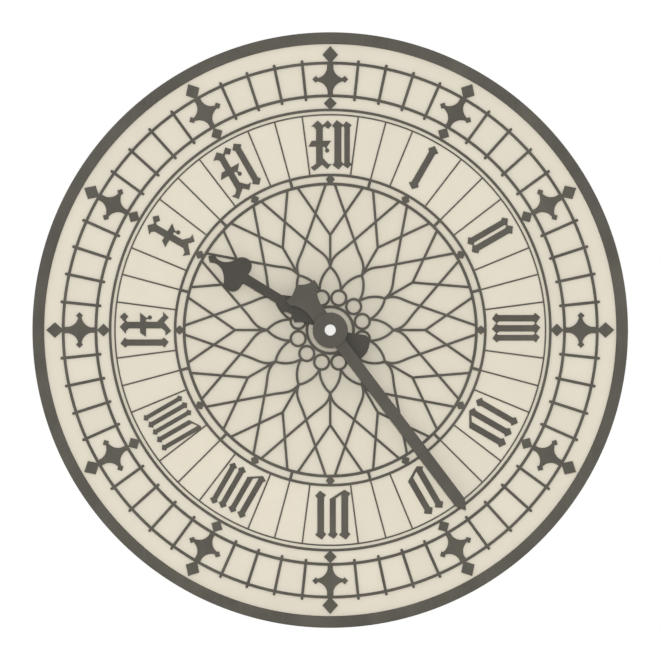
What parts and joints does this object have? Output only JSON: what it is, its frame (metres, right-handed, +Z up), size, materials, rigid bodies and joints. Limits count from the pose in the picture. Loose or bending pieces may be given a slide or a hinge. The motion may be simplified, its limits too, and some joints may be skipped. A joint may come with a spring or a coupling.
{
  "type": "tower clock dial",
  "caption": "Round tower clock dial of opal glass in a cast rim, faced with a Gothic skeleton of bars, stars, broken-letter numerals and a rose of tracery, with hour and minute hands that turn",
  "frame": {"origin": "centre of the dial, in the plane of the rim's back, which seats on the wall", "axes": "+Z up through twelve, front faces -Y, +X to the right seen from the front; the hands turn about the Y axis"},
  "size_m": [6.9998, 0.506, 6.9998],
  "materials": {
    "painted_iron": "matt grey-brown paint on cast iron",
    "opal_glass": "cream opal glass, smooth, not clear",
    "hand_paint": "matt grey-brown paint on plate",
    "bronze": "turned bronze, dull",
    "white_enamel": "white enamel, smooth"
  },
  "bodies": {
    "dial": {"rim": "painted_iron", "glass_outer": "opal_glass", "glass_band": "opal_glass", "glass_inner": "opal_glass", "minute_track": "painted_iron", "spokes": "painted_iron", "hour_ring": "painted_iron", "rose": "painted_iron", "garland": "painted_iron", "back_track": "painted_iron", "back_spokes": "painted_iron", "back_hour_ring": "painted_iron", "back_rose": "painted_iron", "back_garland": "painted_iron", "numeral_1": "painted_iron", "numeral_2": "painted_iron", "numeral_3": "painted_iron", "numeral_4": "painted_iron", "numeral_5": "painted_iron", "numeral_6": "painted_iron", "numeral_7": "painted_iron", "numeral_8": "painted_iron", "numeral_9": "painted_iron", "numeral_10": "painted_iron", "numeral_11": "painted_iron", "numeral_12": "painted_iron", "hub": "painted_iron", "hub_ring": "painted_iron"},
    "hour": {"hour_pipe": "bronze", "hour_hand": "hand_paint"},
    "minute": {"minute_arbor": "bronze", "minute_hand": "hand_paint", "boss": "hand_paint", "cap": "white_enamel"}
  },
  "joints": [
    {"name": "minute_turn", "type": "hinge", "parent": "dial", "child": "minute", "pos_m": [0, 0, 0], "axis": [0, 1, 0], "continuous": true},
    {"name": "hour_turn", "type": "hinge", "parent": "dial", "child": "hour", "pos_m": [0, 0, 0], "axis": [0, 1, 0], "continuous": true}
  ],
  "couplings": [
    {"joint": "hour_turn", "follows": "minute_turn", "ratio": 0.083333}
  ]
}
